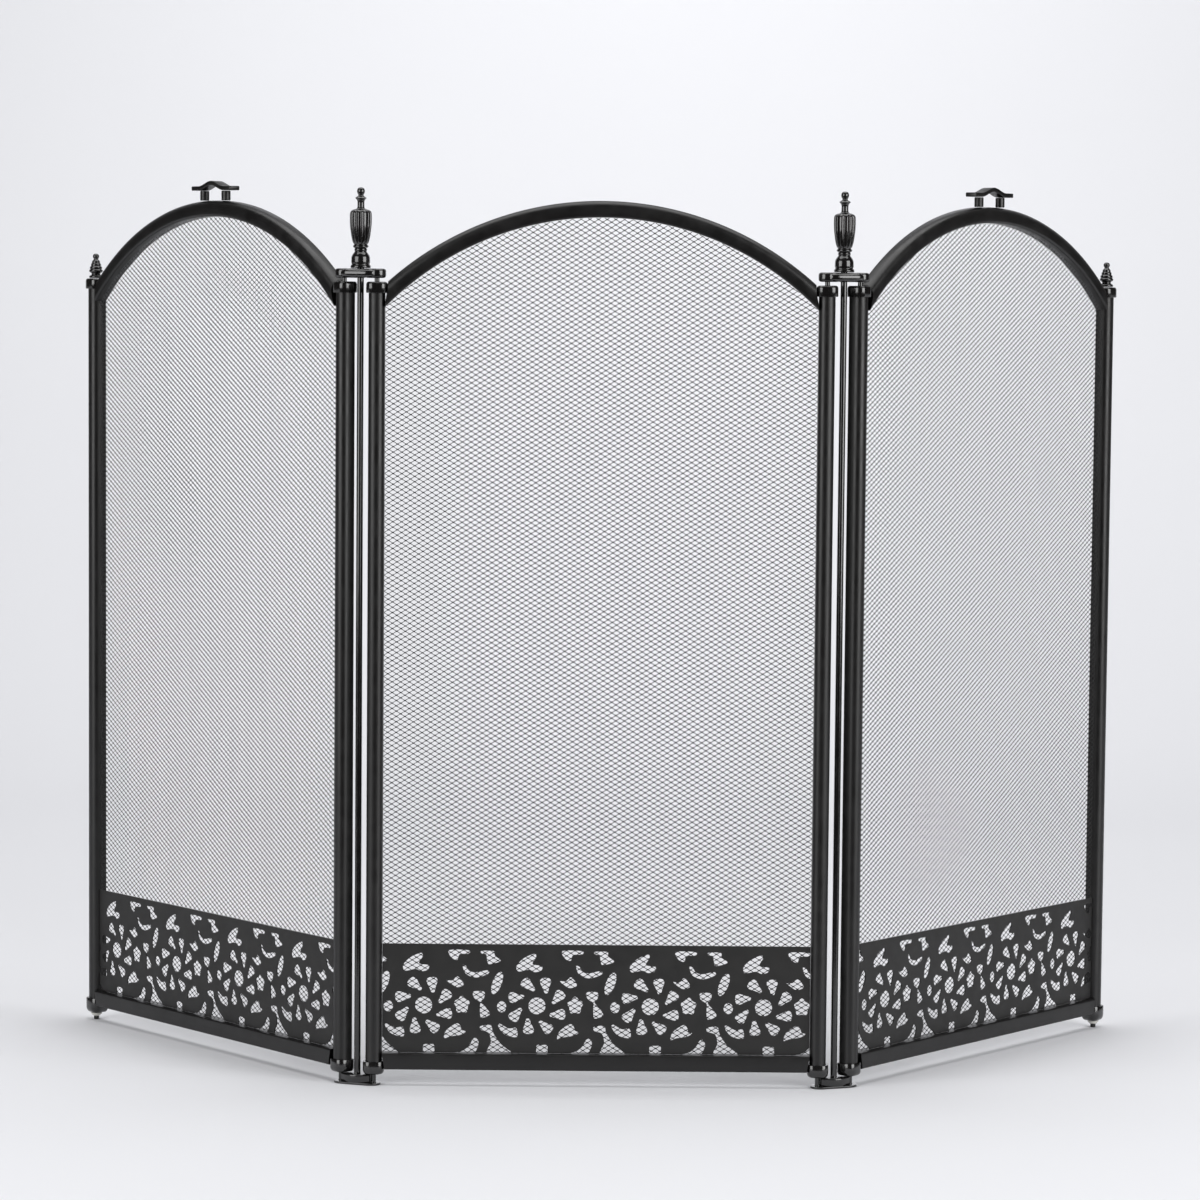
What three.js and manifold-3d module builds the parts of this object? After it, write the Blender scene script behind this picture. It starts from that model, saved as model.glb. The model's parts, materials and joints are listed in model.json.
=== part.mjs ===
// A three-panel folding fireplace screen: arched tube frames filled with mesh, a pierced fret across
// the bottom of each, and a double hinge (two link plates on a tie rod) between neighbouring panels.
//
// Millimetres, +Z up. The front faces -Y and +X is to the right. The origin is on the floor, in the
// middle of the footprint. Every panel is drawn in its own frame: x along the panel from its middle,
// y from front to back with the posts' axes at y = 0, z up from the floor.

import * as THREE from 'three';
import { mergeVertices } from 'three/addons/utils/BufferGeometryUtils.js';
import Module from 'manifold-3d';

// ---------------------------------------------------------------- driving dimensions

const POST_PITCH = 379;         // between the axes of a panel's two posts
const LINK_PITCH = 30;          // between the two pins of a hinge link
const LINK_ANGLE = 20;          // how far each link is turned back, in degrees
const WING_ANGLE = 50;          // how far each wing is turned back, in degrees

const TUBE = { width: 14, depth: 13.5, cornerRadius: 6.6, wall: 1.1 };
const RAIL_CORNER_RADIUS = 1.5;
const ARCH_RADIUS = 270;        // outer edge of the arched band
const ARCH_TOP = 752.8;
const ARCH_STEPS = 64;          // facets in a whole circle
const RAIL_BOTTOM = 14;
const GAP = 0.3;                // clearance between pieces that touch

const CAP = { width: 18.2, depth: 16.5, cornerRadius: 6.5, bevel: 1.2, floor: 2.5 };
const TOP_CAP = { bottom: 674, top: 683.5 };
const HINGE_FOOT_CAP = { bottom: 9.5, top: 20.5 };
const OUTER_FOOT_CAP = { bottom: 6.6, top: 20.5 };

const PIN_RADIUS = 2.15;
const PIN_HOLE_RADIUS = 2.6;
const ROD_RADIUS = 2.8;
const ROD_HOLE_RADIUS = 3.2;
const STUD_RADIUS = 1.5;
const STUD_HOLE_RADIUS = 1.9;
const CORNER_STEPS = 2;         // facets round the corner of a tube or cap
const ROUND_STEPS = 12;         // facets round a pin, rod, hole or foot
const FINIAL_STEPS = 16;        // facets round a finial

const TOP_LINK = { bottom: 686.5, top: 694.5, length: 45.5, width: 15, bow: 4.5 };
const BOTTOM_LINK = { flange: 1.8, top: 9, length: 42, width: 17, blockLength: 26, blockBack: 3, bow: 5 };
const NUT = { radius: 4.4, pocketRadius: 4.9, bottom: 0.4, top: 2.1 };

const MESH_THICKNESS = 0.4;     // a plain sheet with about as much metal in it as the strands have
const FRET_THICKNESS = 1;
const FRET_FRONT = -1.4;        // y of the fret's front face
const FRET_TOP = 121.8;
const ROSETTE_HEIGHT = 69;      // z of the rosettes' centres
const FRET_REPEAT = 96.6;
const FRET_MARGIN = 1;          // least metal left beside a piercing
const ROSETTE_START = { centre: -147, left: -154, right: -141 };

const HANDLE = { length: 58, depth: 11, thickness: 3.8, bottom: 761.5, bow: 4.6, bowHalfWidth: 19 };
const PILLAR = { radius: 4, spacing: 32.4 };
const COLLAR = { radius: 5.1, bottom: 3.4, top: 6.3 };
const TIP_RADIUS = 2.4;

// ---------------------------------------------------------------- materials

function finish(colour, roughness, metalness) {
  return new THREE.MeshStandardMaterial({ color: colour, roughness, metalness });
}

const framePaint = () => finish(0x1c1c1e, 0.45, 0.3);
const castPaint = () => finish(0x151517, 0.3, 0.4);
const fretPaint = () => finish(0x202022, 0.6, 0.2);
const meshPaint = () => finish(0x18181a, 0.5, 0.3);
const nylon = () => finish(0xd9d9d4, 0.5, 0);
const rubber = () => finish(0x101010, 0.85, 0);
const zincPlate = () => finish(0x8d9094, 0.4, 0.9);

// ---------------------------------------------------------------- joining and cutting

const wasm = await Module();
wasm.setup();

function toManifold(geometry) {
  const bare = geometry.index ? geometry.toNonIndexed() : geometry.clone();
  bare.deleteAttribute('normal');
  bare.deleteAttribute('uv');
  const merged = mergeVertices(bare, 1e-4);
  return new wasm.Manifold(new wasm.Mesh({
    numProp: 3,
    vertProperties: new Float32Array(merged.attributes.position.array),
    triVerts: new Uint32Array(merged.index.array),
  }));
}

function toGeometry(manifold) {
  const { vertProperties, triVerts } = manifold.getMesh();
  const geometry = new THREE.BufferGeometry();
  geometry.setAttribute('position', new THREE.BufferAttribute(new Float32Array(vertProperties), 3));
  geometry.setIndex(new THREE.BufferAttribute(new Uint32Array(triVerts), 1));
  geometry.computeVertexNormals();
  return geometry;
}

function join(first, ...others) {
  return toGeometry(others.reduce((sum, other) => sum.add(toManifold(other)), toManifold(first)));
}

function cut(body, ...tools) {
  return toGeometry(tools.reduce((rest, tool) => rest.subtract(toManifold(tool)), toManifold(body)));
}

function keepInside(body, limit) {
  return toGeometry(toManifold(body).intersect(toManifold(limit)));
}

// ---------------------------------------------------------------- simple solids

// A flat shape in x and y, raised from z = bottom to z = top, with an optional chamfer all round.
function raise(shape, bottom, top, bevel = 0, curveSegments = CORNER_STEPS) {
  return new THREE.ExtrudeGeometry(shape, {
    depth: top - bottom - 2 * bevel,
    curveSegments,
    bevelEnabled: bevel > 0,
    bevelThickness: bevel,
    bevelSize: bevel,
    bevelOffset: -bevel,
    bevelSegments: 1,
  }).translate(0, 0, bottom + bevel);
}

// An upright shape in x and z, as thick as given, with its front face at y = front.
function sheet(shape, front, thickness, curveSegments = 3) {
  return new THREE.ExtrudeGeometry(shape, { depth: thickness, curveSegments, bevelEnabled: false })
    .rotateX(Math.PI / 2)
    .translate(0, front + thickness, 0);
}

function rod(radius, bottom, top, x = 0, y = 0) {
  return new THREE.CylinderGeometry(radius, radius, top - bottom, ROUND_STEPS)
    .rotateX(Math.PI / 2)
    .translate(x, y, (bottom + top) / 2);
}

function block(width, depth, height, x, y, z) {
  return new THREE.BoxGeometry(width, depth, height).translate(x, y, z);
}

// A solid of revolution about the Z axis, from a profile of [radius, z] points.
function turned(profile, steps) {
  const points = profile.map(([radius, z]) => new THREE.Vector2(radius, z));
  return new THREE.LatheGeometry(points, steps).rotateX(Math.PI / 2);
}

// A rectangle centred on the axis, with its two front corners (at -y) rounded.
function roundedSection(width, depth, radius) {
  const side = width / 2;
  const front = -depth / 2;
  const back = depth / 2;
  const shape = new THREE.Shape();
  shape.moveTo(side, back);
  shape.lineTo(-side, back);
  shape.lineTo(-side, front + radius);
  shape.absarc(-side + radius, front + radius, radius, Math.PI, 1.5 * Math.PI, false);
  shape.lineTo(side - radius, front);
  shape.absarc(side - radius, front + radius, radius, 1.5 * Math.PI, 2 * Math.PI, false);
  shape.closePath();
  return shape;
}

// A bar with round ends, along x.
function stadium(length, width) {
  const radius = width / 2;
  const reach = length / 2 - radius;
  const shape = new THREE.Shape();
  shape.absarc(reach, 0, radius, -Math.PI / 2, Math.PI / 2, false);
  shape.absarc(-reach, 0, radius, Math.PI / 2, 1.5 * Math.PI, false);
  shape.closePath();
  return shape;
}

// A pad with a straight back at y = back and a front that bows out by the given amount.
function bowedPad(length, front, back, bow) {
  const half = length / 2;
  const shape = new THREE.Shape();
  shape.moveTo(half, back);
  shape.lineTo(-half, back);
  shape.lineTo(-half, front);
  shape.quadraticCurveTo(0, front - 2 * bow, half, front);
  shape.closePath();
  return shape;
}

// ---------------------------------------------------------------- panel frame

const halfOpening = POST_PITCH / 2 - TUBE.width / 2;
const reach = halfOpening - GAP;
const archCentre = ARCH_TOP - ARCH_RADIUS;
const archInnerRadius = ARCH_RADIUS - TUBE.width;
const facetShrink = Math.cos(Math.PI / ARCH_STEPS);

function tube(cornerRadius, bottom, top) {
  const outline = roundedSection(TUBE.width, TUBE.depth, cornerRadius);
  outline.holes.push(roundedSection(
    TUBE.width - 2 * TUBE.wall,
    TUBE.depth - 2 * TUBE.wall,
    cornerRadius - TUBE.wall,
  ));
  return raise(outline, bottom, top);
}

function postGeometry(footCap) {
  return tube(TUBE.cornerRadius, footCap.bottom + CAP.floor + GAP, TOP_CAP.top - CAP.floor - GAP);
}

// The tube section drawn as a closed profile at a radius, to be turned into a whole ring.
function ringOfTube(radius, inset) {
  const width = TUBE.width - 2 * inset;
  const depth = TUBE.depth - 2 * inset;
  const section = roundedSection(width, depth, TUBE.cornerRadius - inset);
  const points = section.getPoints(CORNER_STEPS);
  const profile = points.map((point) => new THREE.Vector2(radius + point.x, point.y));
  profile.push(profile[0].clone());
  return new THREE.LatheGeometry(profile, ARCH_STEPS);
}

// Cuts that let a tube end clear the caps, which stand out beyond the posts on both sides.
function capRoom(bottom, top) {
  const width = 20;
  const depth = 40;
  const clear = POST_PITCH / 2 - CAP.width / 2 - GAP;
  return [-1, 1].map((side) => block(
    width, depth, top - bottom + 2 * GAP,
    side * (clear + width / 2), 0, (bottom + top) / 2,
  ));
}

function archGeometry() {
  const meanRadius = ARCH_RADIUS - TUBE.width / 2;
  const outer = ringOfTube(meanRadius, 0);
  const bore = ringOfTube(meanRadius, TUBE.wall);
  const ring = cut(outer, bore).translate(0, 0, archCentre);
  const window = block(2 * reach, 40, ARCH_RADIUS, 0, 0, archCentre + ARCH_RADIUS / 2 + TUBE.width);
  return cut(keepInside(ring, window), ...capRoom(TOP_CAP.bottom, TOP_CAP.top));
}

function railGeometry() {
  const rail = tube(RAIL_CORNER_RADIUS, -reach, reach)
    .rotateY(Math.PI / 2)
    .translate(0, 0, RAIL_BOTTOM + TUBE.width / 2);
  return cut(rail, ...capRoom(HINGE_FOOT_CAP.bottom, HINGE_FOOT_CAP.top));
}

// ---------------------------------------------------------------- mesh and fret

const infillBottom = RAIL_BOTTOM + TUBE.width + GAP;

function meshGeometry() {
  const radius = archInnerRadius * facetShrink - GAP;
  const spread = Math.asin(reach / radius);
  const shape = new THREE.Shape();
  shape.moveTo(-reach, infillBottom);
  shape.lineTo(reach, infillBottom);
  shape.absarc(0, archCentre, radius, Math.PI / 2 - spread, Math.PI / 2 + spread, false);
  shape.closePath();
  return sheet(shape, FRET_FRONT + FRET_THICKNESS + GAP, MESH_THICKNESS, 6);
}

// Leaf, bird and scroll piercings of one repeat, as corner points measured from the rosette's centre.
const SCROLLS = [
  [[-2.5, 45], [-4, 36], [4, 34.5], [3, 30], [-7, 31], [-16, 29.5], [-17.5, 34.5], [-11.5, 41]],
  [[21.5, 47.5], [38, 47.5], [38, 44.5], [28.5, 39], [23.5, 41]],
  [[49, 47], [59.5, 47], [60.5, 43], [65.5, 38.5], [56, 35.5], [53, 44]],
  [[33, 34.5], [38.5, 30], [44.5, 28.5], [54, 30.5], [55, 27.5], [45, 24], [36, 27]],
  [[19.5, 21.5], [24.5, 21.5], [29, 25], [34, 18], [28, 15.5]],
  [[42.5, 12], [51.5, 12], [51.5, 6.5], [49, 3.5], [56.5, -7.5], [49, -10.5], [48, 3], [43, 6.5]],
  [[65, -15.5], [79, -19], [79.5, -27], [69.5, -25], [64, -18.5]],
  [[17.5, -28.5], [19.5, -21.5], [28, -15.5], [36, -22.5], [22.5, -27]],
  [[29, -39], [44.5, -28], [46.5, -30], [43, -36.5], [36, -39.5]],
  [[48, -18.5], [57.5, -17], [59.5, -23.5], [73, -39.5], [57, -39.5], [54.5, -37], [57.5, -31.5],
    [55.5, -23.5], [49.5, -21.5]],
];

// An oval drawn with a few corners, tilted by an angle in degrees.
function oval(x, z, halfLength, halfWidth, tilt, corners) {
  const turn = THREE.MathUtils.degToRad(tilt);
  return Array.from({ length: corners }, (_, i) => {
    const angle = (2 * Math.PI * i) / corners;
    const along = halfLength * Math.cos(angle);
    const across = halfWidth * Math.sin(angle);
    return [
      x + along * Math.cos(turn) - across * Math.sin(turn),
      z + along * Math.sin(turn) + across * Math.cos(turn),
    ];
  });
}

// One petal of the rosette: a teardrop with its narrow end inward, swept round like a pinwheel.
function petal(index) {
  const place = THREE.MathUtils.degToRad(22.5 + 45 * index);
  const lean = place + THREE.MathUtils.degToRad(27);
  const radius = 19.2;
  const teardrop = [[-6.5, 0], [3.5, -4.6], [6.4, -2], [6.4, 2], [3.5, 4.6]];
  return teardrop.map(([along, across]) => [
    radius * Math.cos(place) + along * Math.cos(lean) - across * Math.sin(lean),
    radius * Math.sin(place) + along * Math.sin(lean) + across * Math.cos(lean),
  ]);
}

function piercingsOfOneRepeat() {
  return [
    oval(0, 0, 7.3, 7.3, 0, 8),
    ...Array.from({ length: 8 }, (_, i) => petal(i)),
    ...SCROLLS,
    oval(62.5, 19.5, 10.2, 3.9, 70, 6),
    oval(33, 0.5, 7.2, 6.7, 90, 6),
    oval(66.5, -1, 4.8, 4, 90, 5),
    oval(4.5, -36, 5.2, 3.6, 0, 5),
  ];
}

// Every piercing that fits on the plate with some metal left beside it is cut right through.
function fretGeometry(firstRosette) {
  const height = FRET_TOP - infillBottom;
  const middle = FRET_FRONT + FRET_THICKNESS / 2;
  const plate = block(2 * reach, FRET_THICKNESS, height, 0, middle, infillBottom + height / 2);
  const edge = reach - FRET_MARGIN;
  const punches = [];
  for (let x = firstRosette - FRET_REPEAT; x < reach + FRET_REPEAT; x += FRET_REPEAT) {
    for (const outline of piercingsOfOneRepeat()) {
      const corners = outline.map(([dx, dz]) => new THREE.Vector2(x + dx, ROSETTE_HEIGHT + dz));
      if (corners.every((corner) => Math.abs(corner.x) < edge)) {
        punches.push(sheet(new THREE.Shape(corners), FRET_FRONT - 1, FRET_THICKNESS + 2));
      }
    }
  }
  return cut(plate, ...punches);
}

// ---------------------------------------------------------------- caps and feet

// The socket that a post end stands in, open downwards or upwards.
function socket(bottom, top) {
  const room = roundedSection(TUBE.width + 2 * GAP, TUBE.depth + 2 * GAP, TUBE.cornerRadius + GAP);
  return raise(room, bottom, top);
}

function capBody(bottom, top) {
  const outline = roundedSection(CAP.width, CAP.depth, CAP.cornerRadius);
  return raise(outline, bottom, top, CAP.bevel);
}

function topCapGeometry(hinged) {
  const shell = cut(
    capBody(TOP_CAP.bottom, TOP_CAP.top),
    socket(TOP_CAP.bottom - 1, TOP_CAP.top - CAP.floor),
  );
  if (!hinged) {
    return cut(shell, rod(STUD_HOLE_RADIUS, TOP_CAP.top - CAP.floor - 1, TOP_CAP.top + 1));
  }
  return join(shell, rod(PIN_RADIUS, TOP_CAP.top - 1, TOP_LINK.top - 2));
}

function hingeFootCapGeometry() {
  const { bottom, top } = HINGE_FOOT_CAP;
  const shell = cut(capBody(bottom, top), socket(bottom + CAP.floor, top + 1));
  return join(shell, rod(PIN_RADIUS, 0.8, bottom + 1));
}

function outerFootCapGeometry() {
  const { bottom, top } = OUTER_FOOT_CAP;
  const shell = cut(capBody(bottom, top), socket(bottom + CAP.floor, top + 1));
  return join(shell, rod(STUD_RADIUS, COLLAR.bottom + GAP, bottom + 1));
}

function collarGeometry() {
  const { radius, bottom, top } = COLLAR;
  return turned([
    [STUD_HOLE_RADIUS, bottom], [radius - 2, bottom], [radius, top - 1], [radius, top - 0.4],
    [radius - 0.4, top], [STUD_HOLE_RADIUS, top], [STUD_HOLE_RADIUS, bottom],
  ], ROUND_STEPS);
}

function footTipGeometry() {
  const top = COLLAR.bottom - GAP;
  return turned([[0, 0], [TIP_RADIUS - 0.4, 0], [TIP_RADIUS, 0.4], [TIP_RADIUS, top], [0, top]], ROUND_STEPS);
}

// ---------------------------------------------------------------- hinge pieces

function topLinkGeometry() {
  const { bottom, top, length, width, bow } = TOP_LINK;
  const bar = raise(stadium(length, width), bottom, top, 1, 3);
  const pad = raise(bowedPad(30, -width / 2 + 1.5, 0, bow), bottom + 1, top - 1, 0.8, 8);
  const pinHoles = [-1, 1].map((side) => rod(
    PIN_HOLE_RADIUS, bottom - 1, top - 1.5, side * LINK_PITCH / 2,
  ));
  return cut(join(bar, pad), ...pinHoles, rod(ROD_HOLE_RADIUS, bottom - 1, top + 1));
}

function bottomLinkGeometry() {
  const { flange, top, length, width, blockLength, blockBack, bow } = BOTTOM_LINK;
  const foot = raise(stadium(length, width), 0, flange, 0, 3);
  const hub = raise(bowedPad(blockLength, -width / 2 + 4, blockBack, bow), flange - 1, top, 0, 8);
  const pinHoles = [-1, 1].map((side) => rod(PIN_HOLE_RADIUS, -1, top + 1, side * LINK_PITCH / 2));
  const nutPocket = rod(NUT.pocketRadius, -1, NUT.top + GAP);
  return cut(join(foot, hub), ...pinHoles, rod(ROD_HOLE_RADIUS, -1, top + 1), nutPocket);
}

function nutGeometry() {
  const { radius, bottom, top } = NUT;
  const hexagon = new THREE.CylinderGeometry(radius, radius, top - bottom, 6)
    .rotateX(Math.PI / 2)
    .translate(0, 0, (bottom + top) / 2);
  return cut(hexagon, rod(ROD_HOLE_RADIUS, bottom - 1, top + 1));
}

// The large finial: ball, collar, swelling body, two beads and a bell, bored to take the tie rod.
function largeFinialGeometry() {
  const base = TOP_LINK.top + GAP;
  return turned([
    [0, 708], [ROD_HOLE_RADIUS, 708], [ROD_HOLE_RADIUS, base], [8.3, base], [8.6, 696.3], [8, 698.2],
    [7.9, 704.6], [5.7, 708], [5.4, 710.2], [5, 711.2], [6.5, 712.9], [5.6, 714.5], [6.5, 715.8],
    [8.3, 722], [9.3, 731.5], [9.3, 741.3], [7.4, 744], [3, 745.2], [2.9, 750.8], [4.9, 753.5], [2.2, 755.9],
    [3.35, 759.2], [1.9, 761.9], [0, 762.5],
  ], FINIAL_STEPS);
}

// The small finial: ball and ringed cone on a disc, with the stud that screws into the cap.
function smallFinialGeometry() {
  const base = TOP_CAP.top + GAP;
  return turned([
    [0, TOP_CAP.top - CAP.floor + 0.5], [STUD_RADIUS, TOP_CAP.top - CAP.floor + 0.5], [STUD_RADIUS, base],
    [6, base], [6.2, 685.4], [4.2, 686.8], [4.1, 688.2], [6.3, 689.8], [6.1, 692], [4.3, 696.5], [2, 700.8],
    [2.9, 703.4], [1.7, 705.5], [0, 706],
  ], FINIAL_STEPS);
}

// ---------------------------------------------------------------- handle

// The strip: two flat ends and a raised bow between them, one thickness throughout.
function handleStripGeometry() {
  const { length, depth, thickness, bottom, bow, bowHalfWidth } = HANDLE;
  const steps = 10;
  const under = Array.from({ length: steps + 1 }, (_, i) => {
    const x = bowHalfWidth * (2 * i / steps - 1);
    return new THREE.Vector2(x, bottom + bow * (1 + Math.cos(Math.PI * x / bowHalfWidth)) / 2);
  });
  const over = under.map((point) => new THREE.Vector2(point.x, point.y + thickness)).reverse();
  const half = length / 2;
  const shape = new THREE.Shape([
    new THREE.Vector2(-half, bottom),
    ...under,
    new THREE.Vector2(half, bottom),
    new THREE.Vector2(half, bottom + thickness),
    ...over,
    new THREE.Vector2(-half, bottom + thickness),
  ]);
  return sheet(shape, -depth / 2, depth);
}

// A pillar stands on the arch's crown and reaches up to the strip.
function pillarGeometry(x) {
  const foot = archCentre + Math.sqrt(ARCH_RADIUS ** 2 - (Math.abs(x) - PILLAR.radius) ** 2) + GAP;
  const head = HANDLE.bottom - GAP;
  return rod(PILLAR.radius, foot, head, x);
}

// ---------------------------------------------------------------- assembly

function piece(name, geometry, material, x = 0) {
  const mesh = new THREE.Mesh(geometry, material);
  mesh.name = name;
  mesh.position.x = x;
  return mesh;
}

// One panel. Each post is hinged to a link or is an outer corner with a finial and a foot.
function panel(name, posts) {
  const group = new THREE.Group();
  group.add(
    piece(`${name}_arch`, archGeometry(), framePaint()),
    piece(`${name}_bottom_rail`, railGeometry(), framePaint()),
    piece(`${name}_mesh`, meshGeometry(), meshPaint()),
    piece(`${name}_fret`, fretGeometry(ROSETTE_START[name]), fretPaint()),
  );
  for (const { label, x, hinged } of posts) {
    const footCap = hinged ? HINGE_FOOT_CAP : OUTER_FOOT_CAP;
    const footCapShape = hinged ? hingeFootCapGeometry() : outerFootCapGeometry();
    group.add(
      piece(`${name}_${label}_post`, postGeometry(footCap), framePaint(), x),
      piece(`${name}_${label}_top_cap`, topCapGeometry(hinged), castPaint(), x),
      piece(`${name}_${label}_foot_cap`, footCapShape, castPaint(), x),
    );
    if (!hinged) {
      group.add(
        piece(`${name}_small_finial`, smallFinialGeometry(), castPaint(), x),
        piece(`${name}_foot_collar`, collarGeometry(), nylon(), x),
        piece(`${name}_foot_tip`, footTipGeometry(), rubber(), x),
      );
    }
  }
  return group;
}

function wing(name, side) {
  const group = panel(name, [
    { label: 'inner', x: -side * POST_PITCH / 2, hinged: true },
    { label: 'outer', x: side * POST_PITCH / 2, hinged: false },
  ]);
  group.add(
    piece(`${name}_handle_strip`, handleStripGeometry(), castPaint()),
    piece(`${name}_handle_pillar_inner`, pillarGeometry(-side * PILLAR.spacing / 2), castPaint()),
    piece(`${name}_handle_pillar_outer`, pillarGeometry(side * PILLAR.spacing / 2), castPaint()),
  );
  return group;
}

function hinge(name) {
  const group = new THREE.Group();
  group.add(
    piece(`${name}_hinge_top_link`, topLinkGeometry(), castPaint()),
    piece(`${name}_hinge_bottom_link`, bottomLinkGeometry(), castPaint()),
    piece(`${name}_hinge_tie_rod`, rod(ROD_RADIUS, 0.6, 706), castPaint()),
    piece(`${name}_hinge_finial`, largeFinialGeometry(), castPaint()),
    piece(`${name}_hinge_nut`, nutGeometry(), zincPlate()),
  );
  return group;
}

// Hangs a hinge and its wing on one side of the centre panel: side is -1 for left, 1 for right.
function foldedSide(name, side) {
  const turnOf = (degrees) => side * THREE.MathUtils.degToRad(degrees);
  const linkPivot = new THREE.Group();
  linkPivot.position.x = side * POST_PITCH / 2;
  linkPivot.rotation.z = turnOf(LINK_ANGLE);
  const link = hinge(name);
  link.position.x = side * LINK_PITCH / 2;
  const wingPivot = new THREE.Group();
  wingPivot.position.x = side * LINK_PITCH;
  wingPivot.rotation.z = turnOf(WING_ANGLE - LINK_ANGLE);
  const leaf = wing(name, side);
  leaf.position.x = side * POST_PITCH / 2;
  wingPivot.add(leaf);
  linkPivot.add(link, wingPivot);
  return linkPivot;
}

const centre = panel('centre', [
  { label: 'left', x: -POST_PITCH / 2, hinged: true },
  { label: 'right', x: POST_PITCH / 2, hinged: true },
]);

const screen = new THREE.Group();
screen.add(centre, foldedSide('left', -1), foldedSide('right', 1));
screen.updateMatrixWorld(true);

// The footprint's middle is the origin, so the screen moves forward by half of its standing depth.
const footprint = new THREE.Box3().setFromObject(screen, true);
screen.position.y = -(footprint.min.y + footprint.max.y) / 2;
screen.updateMatrixWorld(true);

export default screen;
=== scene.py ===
import json
import math

import bmesh
import bpy
import numpy as np
from mathutils import Matrix, Vector


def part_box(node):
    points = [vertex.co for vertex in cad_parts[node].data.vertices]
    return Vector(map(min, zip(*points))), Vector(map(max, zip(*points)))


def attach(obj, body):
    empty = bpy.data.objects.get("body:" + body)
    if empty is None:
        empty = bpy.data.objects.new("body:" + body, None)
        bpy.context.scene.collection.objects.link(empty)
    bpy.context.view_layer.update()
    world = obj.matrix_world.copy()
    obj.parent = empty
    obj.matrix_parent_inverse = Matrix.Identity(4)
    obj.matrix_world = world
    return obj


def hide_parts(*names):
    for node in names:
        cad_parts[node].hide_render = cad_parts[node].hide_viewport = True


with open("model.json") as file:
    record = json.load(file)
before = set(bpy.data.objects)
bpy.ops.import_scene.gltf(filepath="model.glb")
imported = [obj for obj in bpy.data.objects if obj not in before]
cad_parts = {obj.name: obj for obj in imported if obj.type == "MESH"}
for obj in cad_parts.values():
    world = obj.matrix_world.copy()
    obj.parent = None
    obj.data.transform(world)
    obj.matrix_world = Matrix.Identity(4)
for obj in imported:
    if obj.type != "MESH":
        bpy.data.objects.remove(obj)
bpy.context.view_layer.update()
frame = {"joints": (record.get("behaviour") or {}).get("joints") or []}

# Every shape is drawn in millimetres in its own upright frame (x along the panel or link, y to the back,
# z up from the floor), then placed in the model's frame, which is in metres.
MM = 0.001
UP = Vector((0, 0, 1))


# ---------------------------------------------------------------- where things stand

def pivot(joint_name):
    joint = next(j for j in frame["joints"] if j["name"] == joint_name)
    return Vector(joint["pos_m"])


def centre_of_round(node):
    """The axis of a round upright node, at floor height."""
    low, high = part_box(node)
    return Vector(((low[0] + high[0]) / 2, (low[1] + high[1]) / 2, 0))


def stand_between(left, right):
    """From an upright frame with its middle halfway between two axes to the model's frame."""
    along = (right - left).normalized()
    back = UP.cross(along)
    origin = (left + right) / 2
    turn = Matrix((along, back, UP)).transposed().to_4x4()
    return Matrix.Translation(origin) @ turn @ Matrix.Scale(MM, 4)


pins = {name: pivot(name) for name in
        ("left_link_pivot", "left_wing_pivot", "right_link_pivot", "right_wing_pivot")}
places = {
    "centre": stand_between(pins["left_link_pivot"], pins["right_link_pivot"]),
    "left": stand_between(centre_of_round("left_foot_tip"), pins["left_wing_pivot"]),
    "right": stand_between(pins["right_wing_pivot"], centre_of_round("right_foot_tip")),
    "left_hinge": stand_between(pins["left_wing_pivot"], pins["left_link_pivot"]),
    "right_hinge": stand_between(pins["right_link_pivot"], pins["right_wing_pivot"]),
}

HALF_PITCH = (pins["right_link_pivot"] - pins["left_link_pivot"]).length / 2 / MM
HALF_LINK = (pins["right_wing_pivot"] - pins["right_link_pivot"]).length / 2 / MM


def height_of(node):
    """The lowest and highest z of a node, in millimetres."""
    low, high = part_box(node)
    return low[2] / MM, high[2] / MM


ARCH_TOP = height_of("centre_arch")[1]
RAIL_BOTTOM, RAIL_TOP = height_of("centre_bottom_rail")
MESH_BOTTOM = height_of("centre_mesh")[0]
FRET_BOTTOM, FRET_TOP = height_of("centre_fret")

GAP = 0.3                   # left between pieces that touch on the real object
TUBE_WIDTH = 14
TUBE_DEPTH = 13.5
TUBE_FRONT_RADIUS = 6.6
TUBE_BACK_RADIUS = 1.2
TUBE_STATIONS = 12
RAIL_FRONT_RADIUS = 1.4
REACH = HALF_PITCH - TUBE_WIDTH / 2 - GAP      # how far arch, rail, mesh and fret reach from the middle
ARCH_RADIUS = 270
ARCH_CENTRE = ARCH_TOP - ARCH_RADIUS
ARCH_INNER_RADIUS = 2.5
CAP_WIDTH = 18.2
CAP_DEPTH = 16.5
CAP_SIDE = HALF_PITCH - CAP_WIDTH / 2 - GAP    # where arch and rail stop beside a cap
SHARP_DEGREES = 32


# ---------------------------------------------------------------- materials

def new_material(name):
    material = bpy.data.materials.new(name)
    material.use_nodes = True
    tree = material.node_tree
    shader = tree.nodes["Principled BSDF"]
    return material, tree, shader


def noise(tree, scale, detail=2.0, stretch=None):
    """Cloudy noise fixed to the object, with its scale in features per metre."""
    coordinates = tree.nodes.new("ShaderNodeTexCoord")
    texture = tree.nodes.new("ShaderNodeTexNoise")
    texture.inputs["Scale"].default_value = scale
    texture.inputs["Detail"].default_value = detail
    source = coordinates.outputs["Object"]
    if stretch:
        mapping = tree.nodes.new("ShaderNodeMapping")
        mapping.inputs["Scale"].default_value = stretch
        tree.links.new(source, mapping.inputs["Vector"])
        source = mapping.outputs["Vector"]
    tree.links.new(source, texture.inputs["Vector"])
    return texture.outputs["Fac"]


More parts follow.
